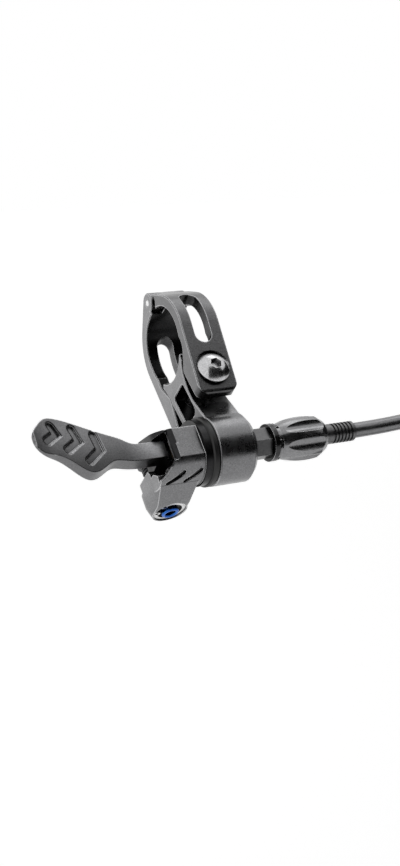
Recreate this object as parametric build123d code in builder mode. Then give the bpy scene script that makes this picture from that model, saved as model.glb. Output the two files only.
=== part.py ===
"""Dropper post remote lever: hinged bar clamp, bracket, lever housing, thumb lever and cable adjuster.

Modelled with the bracket hanging straight down from the handlebar: X along the bar, Y away from
the rider, Z up, origin on the bar's axis in the middle of the clamp. Every piece is then turned
about the bar by HANG_ANGLE, which is how the lever sits on the handlebar. Millimetres.
"""

import os
from math import acos, asin, atan2, cos, degrees, hypot, pi, radians, sin, sqrt

from build123d import *

# Handlebar clamp
BAR_D = 22.2
BAND_W = 12.0
BAND_WALL = 3.4
HANG_ANGLE = 45.0
HINGE_Y = -0.7
HINGE_Z = 15.0
HINGE_PIN_D = 2.4
EAR_R = 3.0
TONGUE_W = 5.0
HINGE_GAP = 0.12
SHOULDER_GAP = 2.4
BORE_END_ANGLE = 25.0
FRONT_DRAFT = 5.6
STRAP_DRAFT = 12.5
LEG_END_Z = -24.4
LEG_TIP_WALL = 3.2
LEG_TIP_R = 1.4
TAB_CORNER = 3.0
FRONT_NOSE = 6.9
STRAP_NOSE = 5.1
NOSE_TOP_Z = -13.4
NOSE_END_Z = -15.4
RELIEF_Y = 10.1
RELIEF_Z = -8.0
RELIEF_R = 4.0
NOSE_R = 0.8
EAR_ROOM = 0.5
STRAP_OPEN = 2.6
SLOT_W = 5.2
SLOT_TOP_Z = 8.3
SLOT_END_Z = -9.4
EDGE = 0.4
BAND_EDGE = 0.3

# Clamp bolt
BOLT_Z = -16.8
BOLT_D = 5.0
BOLT_HEAD_D = 9.5
BOLT_HEAD_H = 2.75
BOLT_CROWN_R = 2.2
BOLT_SOCKET_AF = 3.0
BOLT_SOCKET_DEPTH = 1.7
BOLT_ROOM = 0.4
STRAP_HOLE_ROOM = 1.4
STRAP_HOLE_DROP = 0.5
BOLT_SEAT = 12.5
BOLT_GRIP = 5.6
BOLT_TURN = 10.0

# Bracket
WEB_FAR_X = 4.6
SADDLE_TIP_Y = 7.6
SADDLE_HORN = 1.1
REAR_HORN_Y = -7.3
WAIST_Y = -4.9
WAIST_Z = -16.5
WEB_FOOT_Z = -24.4
WEB_FOOT_REAR_Y = -6.3
WEB_FOOT_FRONT_Y = 5.0
COLLAR_JOIN_REAR = 133.0
COLLAR_JOIN_FRONT = 36.0
WINDOW_TOP_Z = -15.2
WINDOW_END_Z = -25.8
WINDOW_TOP_REAR_Y = -3.2
WINDOW_TOP_FRONT_Y = 4.8
WINDOW_END_REAR_Y = -5.0
WINDOW_END_FRONT_Y = 2.8
WINDOW_R = 1.4
WEB_EDGE = 0.25

# Collar, on the cable's axis
CABLE_Y = -1.8
CABLE_Z = -36.9
COLLAR_R = 9.8
COLLAR_CHAMFER = 1.5
SHANK_D = 6.4
SHANK_ROOM = 0.1

# Lever housing
WASHER_T = 2.0
WASHER_R = 9.7
FLANGE_T = 2.0
FLANGE_R = 9.2
BODY_R = 8.75
FLAT_Y = -9.45
RIDER_WALL = 1.8
RIDER_WALL_END_X = -18.7
MOUTH_SLANT = 0.855
FORK_GAP = 8.4
FORK_MID_Z = -36.9
CAVITY_END_X = -11.9
BOSS_R = 6.0
LUG_X = -21.8
LUG_CORNER_R = 5.5
LUG_ROUND_R = 4.6
BOSS_END_Z = -48.0
BOSS_TAPER_Z = -44.8
BOSS_LOW_WALL = 0.4
BOSS_FLANK_TOP_Z = -42.3
BOSS_FLANK_ANGLE = 28.5
RIM_Z = -38.6
RIM_INNER_X = -20.6
RIM_START_Y = 0.9
CREASE_Y = -2.7
PAD_Y = 5.0
LUG_TOP_Z = -28.3
LUG_TOP_Y = 3.5
LUG_FRONT_Z = -32.3
GROOVE_W = 1.3
GROOVE_L = 6.4
GROOVE_DEPTH = 0.8
GROOVE_ANGLE = 145.0
GROOVE_XS = (-18.6, -13.5)
GROOVE_Y = -4.85

# Lever pivot
PIVOT_X = -16.9
PIVOT_Y = 9.4
PIN_D = 5.0
PIN_BORE = 3.0
PIN_PROUD = 0.6
PIN_CHAMFER = 0.3
BUSH_D = 9.4
BUSH_H = 3.6
UPPER_BUSH_D = 7.6
UPPER_BUSH_H = 2.6
CLIP_T = 0.8
CLIP_WALL = 1.1
CLIP_INSET = 0.3
CLIP_GAP_W = 2.2
CLIP_EYE_R = 1.0
CLIP_HOLE_R = 0.5
CLIP_EYE_WALL = 0.25
CLIP_TURN = 200.0
FIT = 0.05
SLIDE_GAP = 0.05

# Lever
LEVER_FACE_Y = -5.0
LEVER_T = 4.7
LEVER_MID_T = 4.4
LEVER_OUTER_T = 2.9
LEVER_TIP_T = 1.0
LEVER_END_X = -12.6
SWEEP_START_X = -30.0
SWEEP_R = 46.0
ARM_TOP_Z = -33.2
ARM_END_Z = -38.3
ARM_START_X = -26.0
ARM_ROOT_X = -20.8
ROOT_SHOULDER_Y = 1.5
ROOT_INSET = 0.5
PADDLE_TIP_X = -57.0
PADDLE_POINTS = (
    (-30.5, -31.1),
    (-33.0, -29.8),
    (-38.2, -27.6),
    (-43.5, -25.6),
    (-47.8, -24.7),
    (-51.2, -25.0),
    (-54.5, -27.8),
    (-56.8, -31.2),
    (-56.3, -34.4),
    (-54.4, -35.7),
    (-49.9, -35.9),
    (-46.3, -37.4),
    (-43.5, -39.4),
    (-40.9, -40.4),
    (-38.2, -39.7),
    (-34.3, -37.5),
)
HUB_R = 3.6
HUB_GAP = 0.3
HUB_ROOM = 0.4
RECESS_DEPTH = 0.6
CHEVRON_W = 3.3
CHEVRON_RISE = 0.4
CHEVRONS = (
    ((-36.2, -34.6), (-37.9, -28.3), (-41.3, -38.2)),
    ((-41.7, -31.3), (-43.7, -26.5), (-46.4, -35.1)),
    ((-47.9, -29.5), (-50.2, -26.3), (-53.3, -33.4)),
)

# Cable anchor and cable
ANCHOR_X = -15.2
ANCHOR_R = 2.0
CABLE_D = 1.2
CABLE_HEAD_D = 2.6
CABLE_HEAD_L = 1.5
CABLE_ROOM = 0.4
CABLE_SLOT_W = 4.4

# Return spring
SPRING_WIRE = 0.7
SPRING_R = 3.4
SPRING_TURNS = 2.5
SPRING_PITCH = 0.85
SPRING_ROOM = 3.4
SPRING_LEG = 3.0
SPRING_RECESS_R = 5.1

# Cable adjuster
HEX_AF = 8.0
HEX_L = 7.3
HEX_TURN = 15.0
STUD_D = 4.8
STUD_L = 12.0
INDEX_R = 5.4
INDEX_T = 1.6
INDEX_NOTCHES = 5
NOTCH_DEPTH = 1.2
NOTCH_W = 2.6
ADJUSTER_GAP = 0.1
KNOB_L = 16.0
KNOB_R = 6.3
KNOB_START_R = 4.9
KNOB_END_R = 4.6
KNOB_SHOULDER_L = 8.0
KNOB_ROUND = 2.4
FLUTES = 7
FLUTE_TURN = 20.0
FLUTE_R = 2.6
FLUTE_DEPTH = 1.0
FERRULE_NOSE_D = 5.0
FERRULE_NOSE_L = 6.0
FERRULE_D = 5.9
FERRULE_L = 11.0
FERRULE_GROOVES = 6
FERRULE_FIRST = 3.2
FERRULE_PITCH = 1.15
FERRULE_GROOVE_W = 0.7
FERRULE_GROOVE_DEPTH = 0.35

# Outer cable, put away as a tied coil
HOUSING_D = 4.5
ROUTE = (
    (0, 0, 0),
    (9, 0, 0),
    (24, 0.3, 0.9),
    (46, 0.8, 1.8),
    (67, 0.6, -1),
    (81.2, 0.3, -13),
    (85.9, 0, -31),
    (86.1, 0, -45),
)
CORNER_SHARE = 0.45
COIL_R = 26.0
COIL_BUNDLE_W = 15.0
COIL_BUNDLE_H = 14.0
COIL_LAYER = 4.75
COIL_COLUMN = 5.0
TIE_W = 4.0
TIE_T = 1.0
TIE_ROOM = 0.2
TIE_ANGLES = (65, 290)
END_FERRULE_D = 5.6
END_FERRULE_L = 12.0
END_ANGLE = 205.0
END_GAP = 0.1

# Room round a searched height, overshoot of a cut, and a length that goes right through
NEAR = 0.01
MARGIN = 1.0
THROUGH = 60.0

BORE_R = BAR_D / 2
OUTER_R = BORE_R + BAND_WALL
HALF_W = BAND_W / 2
SIDE = Plane.YZ
FACE_ON = Plane.XZ
CABLE_AXIS = Axis((0, CABLE_Y, CABLE_Z), (1, 0, 0))


def on_circle(radius, angle, centre=(0.0, 0.0)):
    """Point of a circle, its angle in degrees from the first axis."""
    return (centre[0] + radius * cos(radians(angle)), centre[1] + radius * sin(radians(angle)))


def across(x):
    """Plane square to the bar at x, centred on the cable's axis."""
    return Plane(origin=(x, CABLE_Y, CABLE_Z), x_dir=(0, 1, 0), z_dir=(1, 0, 0))


def level(z):
    """Level plane at height z, centred on the lever's pivot."""
    return Plane(origin=(PIVOT_X, PIVOT_Y, z), x_dir=(1, 0, 0), z_dir=(0, 0, 1))


os.makedirs("parts", exist_ok=True)


def save(piece, name, hang=HANG_ANGLE):
    """Turn a finished piece about the bar to the way it hangs, name it and write it."""
    solid = Rot(-hang, 0, 0) * piece.part
    solid.label = name
    export_step(solid, f"parts/{name}.step")


# Stations along the cable's axis
HOUSING_X = -HALF_W - WASHER_T - SLIDE_GAP
BODY_X = HOUSING_X - FLANGE_T
HEX_END_X = HALF_W + HEX_L
INDEX_X = HEX_END_X + ADJUSTER_GAP
KNOB_X = INDEX_X + INDEX_T + ADJUSTER_GAP
KNOB_END_X = KNOB_X + KNOB_L
FERRULE_END_X = KNOB_END_X + FERRULE_L

# Heights along the pivot
FORK_TOP_Z = FORK_MID_Z + FORK_GAP / 2
FORK_END_Z = FORK_MID_Z - FORK_GAP / 2
LOWER_BUSH_Z = BOSS_END_Z + CLIP_INSET + CLIP_T
HUB_TOP_Z = FORK_TOP_Z - SPRING_ROOM
MOUTH_X = PIVOT_X - BOSS_R
HOUSING_END_X = min(LUG_X, MOUTH_X)


def slope(angle):
    """Rise over run of an angle in degrees."""
    return sin(radians(angle)) / cos(radians(angle))


def band_outline(side, draft, nose):
    """Closed outline of a half band and its leg; side is 1 in front and -1 behind the bar."""
    hinge = (HINGE_Y, HINGE_Z)
    reach = hypot(*hinge)
    bearing = degrees(atan2(HINGE_Z, HINGE_Y))
    tangent_angle = bearing - side * degrees(acos((OUTER_R - EAR_R) / reach))
    bore_start = on_circle(BORE_R, bearing)
    bore_mid = (side * BORE_R * cos(radians(BORE_END_ANGLE)), BORE_R * sin(radians(BORE_END_ANGLE)))
    bore_end = (bore_mid[0], -bore_mid[1])
    leg_top = (side * OUTER_R * cos(radians(draft)), -OUTER_R * sin(radians(draft)))
    outer_mid = (leg_top[0], -leg_top[1])
    tip_y = leg_top[0] - side * (leg_top[1] - LEG_END_Z) * slope(draft)
    with BuildSketch() as outline:
        with BuildLine():
            ThreePointArc(bore_start, bore_mid, bore_end)
            Polyline(
                bore_end,
                (side * RELIEF_Y, RELIEF_Z),
                (side * nose, NOSE_TOP_Z),
                (side * nose, NOSE_END_Z),
                (tip_y - side * LEG_TIP_WALL, LEG_END_Z),
                (tip_y, LEG_END_Z),
                leg_top,
            )
            ThreePointArc(leg_top, outer_mid, on_circle(OUTER_R, tangent_angle))
            Polyline(
                on_circle(OUTER_R, tangent_angle),
                on_circle(EAR_R, tangent_angle, hinge),
                hinge,
                bore_start,
            )
        make_face()
        tip = outline.vertices().filter_by_position(Axis.Y, LEG_END_Z - NEAR, LEG_END_Z + NEAR)
        fillet(tip, radius=LEG_TIP_R)
        relief = outline.vertices().filter_by_position(Axis.Y, RELIEF_Z - NEAR, RELIEF_Z + NEAR)
        fillet(relief, radius=RELIEF_R)
        flat = outline.vertices().filter_by_position(Axis.Y, NOSE_END_Z - NEAR, NOSE_TOP_Z + NEAR)
        fillet(flat, radius=NOSE_R)
        with Locations(hinge):
            Circle(EAR_R)
    return outline.sketch


def flanks(piece):
    """Edges of a piece's two outermost faces across the bar."""
    faces = piece.faces().filter_by(Axis.X).sort_by(Axis.X)
    return faces[0].edges() + faces[-1].edges()


def lightening_slot():
    """Long round-ended slot, seen along Y."""
    with BuildSketch() as slot:
        with Locations((0, (SLOT_TOP_Z + SLOT_END_Z) / 2)):
            SlotOverall(SLOT_TOP_Z - SLOT_END_Z, SLOT_W, rotation=90)
    return slot.sketch


def leg_silhouette():
    """Band seen along Y, with the leg's rounded corners."""
    top = HINGE_Z + EAR_R
    with BuildSketch() as silhouette:
        with Locations((0, (top + LEG_END_Z) / 2)):
            Rectangle(BAND_W, top - LEG_END_Z)
        low = silhouette.vertices().group_by(Axis.Y)[0]
        fillet(low, radius=TAB_CORNER)
    return silhouette.sketch


# Front half band, with the two hinge ears and the bolt's thread
with BuildPart() as front_band:
    with BuildSketch(SIDE.offset(-HALF_W)):
        add(band_outline(1, FRONT_DRAFT, FRONT_NOSE))
    extrude(amount=BAND_W)
    chamfer(flanks(front_band), length=BAND_EDGE)
    with BuildSketch(FACE_ON):
        add(leg_silhouette())
    extrude(amount=THROUGH, both=True, mode=Mode.INTERSECT)
    with BuildSketch(SIDE.offset(-TONGUE_W / 2 - HINGE_GAP)):
        with Locations((HINGE_Y, HINGE_Z)):
            Circle(EAR_R + EAR_ROOM)
        with Locations((HINGE_Y - EAR_R, HINGE_Z)):
            Rectangle(2 * EAR_R, 2 * (EAR_R + EAR_ROOM))
    extrude(amount=TONGUE_W + 2 * HINGE_GAP, mode=Mode.SUBTRACT)
    with BuildSketch(FACE_ON):
        add(lightening_slot())
        with Locations((0, BOLT_Z)):
            Circle(BOLT_D / 2)
    extrude(amount=-THROUGH, mode=Mode.SUBTRACT)
    with BuildSketch(SIDE.offset(-HALF_W)):
        with Locations((HINGE_Y, HINGE_Z)):
            Circle(HINGE_PIN_D / 2)
    extrude(amount=BAND_W, mode=Mode.SUBTRACT)
save(front_band, "front_band")

# Rear strap: its tongue turns on the pin, and it stands a little open at rest
with BuildPart() as closed_strap:
    with BuildSketch(SIDE.offset(-HALF_W)):
        add(band_outline(-1, STRAP_DRAFT, STRAP_NOSE))
        with Locations((HINGE_Y, HINGE_Z)):
            Circle(EAR_R + SHOULDER_GAP, mode=Mode.SUBTRACT)
    extrude(amount=BAND_W)
    chamfer(flanks(closed_strap), length=BAND_EDGE)
    with BuildSketch(FACE_ON):
        add(leg_silhouette())
    extrude(amount=THROUGH, both=True, mode=Mode.INTERSECT)
    with BuildSketch(SIDE.offset(-TONGUE_W / 2)):
        add(band_outline(-1, STRAP_DRAFT, STRAP_NOSE))
        with Locations((0, LEG_END_Z / 2)):
            Rectangle(THROUGH, -LEG_END_Z + MARGIN, mode=Mode.SUBTRACT)
        with Locations((HINGE_Y, HINGE_Z)):
            Circle(HINGE_PIN_D / 2 + FIT, mode=Mode.SUBTRACT)
    extrude(amount=TONGUE_W)
    with BuildSketch(FACE_ON):
        add(lightening_slot())
        with Locations((0, BOLT_Z - STRAP_HOLE_DROP)):
            SlotOverall(BOLT_D + 2 * STRAP_HOLE_ROOM, BOLT_D + STRAP_HOLE_ROOM, rotation=90)
    extrude(amount=THROUGH, mode=Mode.SUBTRACT)
opened_strap = closed_strap.part.rotate(Axis((0, HINGE_Y, HINGE_Z), (1, 0, 0)), -STRAP_OPEN)
with BuildPart() as rear_strap:
    add(opened_strap)
    with BuildSketch(FACE_ON.offset(BOLT_SEAT)):
        with Locations((0, BOLT_Z)):
            Circle(BOLT_HEAD_D / 2 + BOLT_ROOM)
    extrude(amount=BOLT_HEAD_H, mode=Mode.SUBTRACT)
save(rear_strap, "rear_strap")

with BuildPart() as hinge_pin:
    with BuildSketch(SIDE.offset(-HALF_W)):
        with Locations((HINGE_Y, HINGE_Z)):
            Circle(HINGE_PIN_D / 2)
    extrude(amount=BAND_W)
    chamfer(hinge_pin.edges(), length=PIN_CHAMFER)
save(hinge_pin, "hinge_pin")

# Clamp bolt: button head behind the strap, shank through the bracket into the front band
BOLT_TIP = FRONT_NOSE + BOLT_GRIP
with BuildPart() as clamp_bolt:
    with BuildSketch(FACE_ON.offset(BOLT_SEAT)):
        with Locations((0, BOLT_Z)):
            Circle(BOLT_HEAD_D / 2)
    extrude(amount=BOLT_HEAD_H)
    crown = clamp_bolt.faces().sort_by(Axis.Y)[0].edges()
    fillet(crown, radius=BOLT_CROWN_R)
    with BuildSketch(FACE_ON.offset(BOLT_SEAT)):
        with Locations((0, BOLT_Z)):
            Circle(BOLT_D / 2)
    extrude(amount=-(BOLT_SEAT + BOLT_TIP))
    with BuildSketch(FACE_ON.offset(BOLT_SEAT + BOLT_HEAD_H)):
        with Locations((0, BOLT_Z)):
            RegularPolygon(BOLT_SOCKET_AF / 2, 6, major_radius=False, rotation=BOLT_TURN)
    extrude(amount=-BOLT_SOCKET_DEPTH, mode=Mode.SUBTRACT)
save(clamp_bolt, "clamp_bolt")

# Bracket: saddle under the bar, open web and the collar in one piece
saddle_z = -sqrt(BORE_R**2 - SADDLE_TIP_Y**2)
collar_rear = on_circle(COLLAR_R, COLLAR_JOIN_REAR, (CABLE_Y, CABLE_Z))
collar_front = on_circle(COLLAR_R, COLLAR_JOIN_FRONT, (CABLE_Y, CABLE_Z))
rear_horn = (REAR_HORN_Y, saddle_z - 2 * SADDLE_HORN)
front_horn = (SADDLE_TIP_Y + SADDLE_HORN, saddle_z - SADDLE_HORN)
rear_foot = (WEB_FOOT_REAR_Y, WEB_FOOT_Z)
with BuildPart() as bracket:
    with BuildSketch(across(-HALF_W)):
        Circle(COLLAR_R)
    extrude(amount=BAND_W)
    chamfer(bracket.faces().sort_by(Axis.X)[-1].edges(), length=COLLAR_CHAMFER)
    with BuildSketch(SIDE.offset(-HALF_W)) as web:
        with BuildLine():
            ThreePointArc((-SADDLE_TIP_Y, saddle_z), (0, -BORE_R), (SADDLE_TIP_Y, saddle_z))
            Polyline(
                (SADDLE_TIP_Y, saddle_z),
                front_horn,
                (FRONT_NOSE, NOSE_TOP_Z),
                (FRONT_NOSE, NOSE_END_Z),
                (WEB_FOOT_FRONT_Y, WEB_FOOT_Z),
                collar_front,
                (CABLE_Y, CABLE_Z),
                collar_rear,
                rear_foot,
            )
            ThreePointArc(rear_foot, (WAIST_Y, WAIST_Z), rear_horn)
            Line(rear_horn, (-SADDLE_TIP_Y, saddle_z))
        make_face()
        with BuildLine():
            Polyline(
                (WINDOW_TOP_REAR_Y, WINDOW_TOP_Z),
                (WINDOW_TOP_FRONT_Y, WINDOW_TOP_Z),
                (WINDOW_END_FRONT_Y, WINDOW_END_Z),
                (WINDOW_END_REAR_Y, WINDOW_END_Z),
                close=True,
            )
        make_face(mode=Mode.SUBTRACT)
        heads = web.vertices().filter_by_position(Axis.Y, WINDOW_TOP_Z - NEAR, WINDOW_TOP_Z + NEAR)
        feet = web.vertices().filter_by_position(Axis.Y, WINDOW_END_Z - NEAR, WINDOW_END_Z + NEAR)
        fillet(heads + feet, radius=WINDOW_R)
    extrude(amount=HALF_W + WEB_FAR_X)
    near_face = bracket.faces().filter_by(Axis.X).sort_by(Axis.X)[0]
    chamfer(near_face.edges(), length=WEB_EDGE)
    with BuildSketch(across(-HALF_W)):
        Circle(SHANK_D / 2 + SHANK_ROOM)
    extrude(amount=BAND_W, mode=Mode.SUBTRACT)
    with BuildSketch(FACE_ON):
        with Locations((0, BOLT_Z)):
            Circle(BOLT_D / 2 + BOLT_ROOM / 2)
    extrude(amount=THROUGH, both=True, mode=Mode.SUBTRACT)
save(bracket, "bracket")

with BuildPart() as thrust_washer:
    with BuildSketch(across(-HALF_W - WASHER_T)):
        Circle(WASHER_R)
        Circle(SHANK_D / 2 + SHANK_ROOM, mode=Mode.SUBTRACT)
    extrude(amount=WASHER_T)
    rims = thrust_washer.edges().filter_by(GeomType.CIRCLE).sort_by(SortBy.RADIUS)[-2:]
    chamfer(rims, length=EDGE)
save(thrust_washer, "thrust_washer")

# Lever housing: flanged round body with a rider's flat, a mouth on the left and a fork for the lever
with BuildPart() as groove_cutter:
    with BuildSketch(Plane.XY.offset(BOSS_END_Z)):
        for groove_x in GROOVE_XS:
            with Locations((groove_x, GROOVE_Y)):
                SlotOverall(GROOVE_L, GROOVE_W, rotation=GROOVE_ANGLE)
    extrude(amount=BODY_R)
    with BuildSketch(across(MOUTH_X)):
        Circle(BODY_R - GROOVE_DEPTH)
    extrude(amount=BODY_X - MOUTH_X + FLANGE_T, mode=Mode.SUBTRACT)

# The boss narrows round the bush: straight along its left side, turned about the pivot in front
boss_low_r = BUSH_D / 2 + BOSS_LOW_WALL
flank_foot = on_circle(boss_low_r, -BOSS_FLANK_ANGLE, (PIVOT_X, PIVOT_Y))
with BuildPart() as boss_taper:
    with BuildSketch(FACE_ON.offset(-PIVOT_Y)) as taper_section:
        with BuildLine():
            Polyline(
                (MOUTH_X, BOSS_TAPER_Z),
                (PIVOT_X - boss_low_r, BOSS_END_Z),
                (MOUTH_X - MARGIN, BOSS_END_Z),
                (MOUTH_X - MARGIN, BOSS_TAPER_Z),
                close=True,
            )
        make_face()
    extrude(amount=THROUGH)
    pivot_axis = Axis((PIVOT_X, PIVOT_Y, 0), (0, 0, -1))
    revolve(taper_section.sketch, axis=pivot_axis, revolution_arc=180 + BOSS_FLANK_ANGLE)

lip_y = FLAT_Y + (RIDER_WALL_END_X - MOUTH_X) / MOUTH_SLANT
cavity_depth = PIVOT_Y + 2 * BOSS_R - FLAT_Y

# The housing seen along the pivot: slanted mouth below, wider round-cornered lug above
with BuildPart() as housing_plan:
    with BuildSketch(Plane.XY.offset(BOSS_END_Z)):
        with BuildLine():
            Polyline(
                (PIVOT_X + BOSS_R, PIVOT_Y),
                (PIVOT_X + BOSS_R, CABLE_Y + BODY_R),
                (BODY_X, CABLE_Y + BODY_R),
                (BODY_X, FLAT_Y),
                (RIDER_WALL_END_X, FLAT_Y),
                (MOUTH_X, lip_y),
                (MOUTH_X, PIVOT_Y),
            )
            ThreePointArc((MOUTH_X, PIVOT_Y), (PIVOT_X, PIVOT_Y + BOSS_R), (PIVOT_X + BOSS_R, PIVOT_Y))
        make_face()
    extrude(amount=FORK_MID_Z - BOSS_END_Z)
    with BuildSketch(Plane.XY.offset(FORK_MID_Z)) as lug_plan:
        with BuildLine():
            Polyline(
                (PIVOT_X + LUG_ROUND_R, PIVOT_Y),
                (PIVOT_X + LUG_ROUND_R, CABLE_Y + BODY_R),
                (BODY_X, CABLE_Y + BODY_R),
                (BODY_X, FLAT_Y),
                (LUG_X, FLAT_Y),
                (LUG_X, CABLE_Y),
                (PIVOT_X - LUG_ROUND_R, PIVOT_Y),
            )
            ThreePointArc(
                (PIVOT_X - LUG_ROUND_R, PIVOT_Y),
                (PIVOT_X, PIVOT_Y + LUG_ROUND_R),
                (PIVOT_X + LUG_ROUND_R, PIVOT_Y),
            )
        make_face()
        fillet(lug_plan.vertices().sort_by_distance((LUG_X, FLAT_Y, FORK_MID_Z))[0], radius=LUG_CORNER_R)
    extrude(amount=LUG_TOP_Z - FORK_MID_Z + MARGIN)

with BuildPart() as housing_barrel:
    with BuildSketch(SIDE.offset(HOUSING_END_X)):
        with Locations((CABLE_Y, CABLE_Z)):
            Circle(BODY_R)
        with BuildLine():
            Polyline(
                (FLAT_Y - BODY_R, LUG_FRONT_Z),
                (FLAT_Y, LUG_FRONT_Z),
                (LUG_TOP_Y, LUG_TOP_Z),
                (LUG_TOP_Y, LUG_TOP_Z + BODY_R),
                (FLAT_Y - BODY_R, LUG_TOP_Z + BODY_R),
                close=True,
            )
        make_face(mode=Mode.SUBTRACT)
    extrude(amount=BODY_X - HOUSING_END_X)
    add(housing_plan.part, mode=Mode.INTERSECT)

with BuildPart() as lever_housing:
    with BuildSketch(SIDE.offset(HOUSING_END_X)):
        with BuildLine():
            Polyline(
                (CREASE_Y, CABLE_Z - BODY_R),
                (PAD_Y, BOSS_END_Z),
                (PIVOT_Y + BOSS_R, BOSS_END_Z),
                (PIVOT_Y + BOSS_R, LUG_TOP_Z),
                (LUG_TOP_Y, LUG_TOP_Z),
                (FLAT_Y, LUG_FRONT_Z),
                (FLAT_Y, CABLE_Z),
                (CABLE_Y, CABLE_Z),
                close=True,
            )
        make_face()
    extrude(amount=BODY_X - HOUSING_END_X)
    add(housing_plan.part, mode=Mode.INTERSECT)
    add(boss_taper.part, mode=Mode.SUBTRACT)
    with BuildSketch(FACE_ON.offset(-flank_foot[1])):
        with BuildLine():
            Polyline(
                (flank_foot[0], BOSS_END_Z),
                (BODY_X, BOSS_FLANK_TOP_Z),
                (BODY_X, BOSS_END_Z),
                close=True,
            )
        make_face()
    extrude(amount=THROUGH, mode=Mode.SUBTRACT)
    add(housing_barrel.part)
    with BuildSketch(across(BODY_X)):
        Circle(FLANGE_R)
    extrude(amount=FLANGE_T)
    with BuildSketch(Plane.XY.offset(FORK_END_Z)):
        with Locations((CAVITY_END_X, FLAT_Y + RIDER_WALL)):
            Rectangle(CAVITY_END_X - HOUSING_END_X + MARGIN, cavity_depth, align=(Align.MAX, Align.MIN))
        with Locations((RIDER_WALL_END_X, FLAT_Y - MARGIN)):
            Rectangle(RIDER_WALL_END_X - HOUSING_END_X + MARGIN, cavity_depth, align=(Align.MAX, Align.MIN))
    extrude(amount=FORK_GAP, mode=Mode.SUBTRACT)
    with BuildSketch(Plane.XY.offset(FORK_END_Z)):
        with Locations((RIM_INNER_X, RIM_START_Y)):
            Rectangle(RIM_INNER_X - MOUTH_X, PIVOT_Y - RIM_START_Y, align=(Align.MAX, Align.MIN))
        with Locations((PIVOT_X, PIVOT_Y)):
            Circle(HUB_R + HUB_ROOM, mode=Mode.SUBTRACT)
    extrude(amount=RIM_Z - FORK_END_Z)
    with BuildSketch(across(CAVITY_END_X - MARGIN)):
        Circle(SHANK_D / 2)
    extrude(amount=HOUSING_X - CAVITY_END_X + MARGIN, mode=Mode.SUBTRACT)
    with BuildSketch(level(BOSS_END_Z)):
        Circle(BUSH_D / 2)
    extrude(amount=LOWER_BUSH_Z + BUSH_H - BOSS_END_Z, mode=Mode.SUBTRACT)
    with BuildSketch(level(BOSS_END_Z)):
        Circle(PIN_D / 2 + SHANK_ROOM)
    extrude(amount=FORK_MID_Z - BOSS_END_Z, mode=Mode.SUBTRACT)
    with BuildSketch(level(FORK_MID_Z)):
        Circle(UPPER_BUSH_D / 2)
    extrude(amount=FORK_GAP / 2 + UPPER_BUSH_H, mode=Mode.SUBTRACT)
    add(groove_cutter.part, mode=Mode.SUBTRACT)
save(lever_housing, "lever_housing")

with BuildPart() as lower_bush:
    with BuildSketch(level(LOWER_BUSH_Z)):
        Circle(BUSH_D / 2)
        Circle(PIN_D / 2, mode=Mode.SUBTRACT)
    extrude(amount=BUSH_H)
save(lower_bush, "lower_bush")

with BuildPart() as upper_bush:
    with BuildSketch(level(FORK_TOP_Z)):
        Circle(UPPER_BUSH_D / 2)
        Circle(PIN_D / 2, mode=Mode.SUBTRACT)
    extrude(amount=UPPER_BUSH_H)
save(upper_bush, "upper_bush")

with BuildPart() as pivot_pin:
    with BuildSketch(level(BOSS_END_Z - PIN_PROUD)):
        Circle(PIN_D / 2)
        Circle(PIN_BORE / 2, mode=Mode.SUBTRACT)
    extrude(amount=FORK_TOP_Z + UPPER_BUSH_H - BOSS_END_Z + PIN_PROUD)
    rim = pivot_pin.faces().sort_by(Axis.Z)[0].edges()
    chamfer(rim, length=PIN_CHAMFER)
save(pivot_pin, "pivot_pin")

# Open ring with an eye at each end, sprung into the boss under the lower bush
EYE_REACH = BUSH_D / 2 - CLIP_EYE_R
EYE_ASIDE = CLIP_GAP_W / 2 + CLIP_EYE_WALL + CLIP_HOLE_R
EYE_SPREAD = degrees(asin(EYE_ASIDE / EYE_REACH))
eye_places = PolarLocations(EYE_REACH, 2, start_angle=CLIP_TURN - EYE_SPREAD, angular_range=4 * EYE_SPREAD)
with BuildPart() as pivot_clip:
    with BuildSketch(level(BOSS_END_Z + CLIP_INSET)):
        Circle(BUSH_D / 2)
        Circle(BUSH_D / 2 - CLIP_WALL, mode=Mode.SUBTRACT)
        with eye_places:
            Circle(CLIP_EYE_R)
        with PolarLocations(BUSH_D / 2, 1, start_angle=CLIP_TURN):
            Rectangle(BUSH_D / 2, CLIP_GAP_W, mode=Mode.SUBTRACT)
        with eye_places:
            Circle(CLIP_HOLE_R, mode=Mode.SUBTRACT)
    extrude(amount=CLIP_T)
save(pivot_clip, "pivot_clip")

# Thumb lever: the paddle's outline seen from the rider, cut by the swept ribbon seen from above
ribbon_centre = (SWEEP_START_X, LEVER_FACE_Y - SWEEP_R)
ribbon_reach = degrees(acos((SWEEP_START_X - PADDLE_TIP_X + 2 * MARGIN) / (SWEEP_R + LEVER_T)))


def ribbon(front, backs):
    """Strip behind the lever's face, straight at the arm and swept at the paddle; backs holds its depths."""
    reach = 180 - ribbon_reach
    back_points = [
        on_circle(SWEEP_R + depth, 90 + (reach - 90) * step / (len(backs) - 1), ribbon_centre)
        for step, depth in enumerate(backs)
    ]
    mid = (90 + 180 - ribbon_reach) / 2
    with BuildSketch() as strip:
        with BuildLine():
            Line((LEVER_END_X, LEVER_FACE_Y + front), (SWEEP_START_X, LEVER_FACE_Y + front))
            ThreePointArc(
                (SWEEP_START_X, LEVER_FACE_Y + front),
                on_circle(SWEEP_R + front, mid, ribbon_centre),
                on_circle(SWEEP_R + front, reach, ribbon_centre),
            )
            Line(on_circle(SWEEP_R + front, reach, ribbon_centre), back_points[-1])
            Spline(*back_points, tangents=((-1, 0), on_circle(1, reach + 90)))
            Polyline(
                back_points[0],
                (LEVER_END_X, LEVER_FACE_Y + backs[0]),
                (LEVER_END_X, LEVER_FACE_Y + front),
            )
        make_face()
    return strip.sketch


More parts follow.
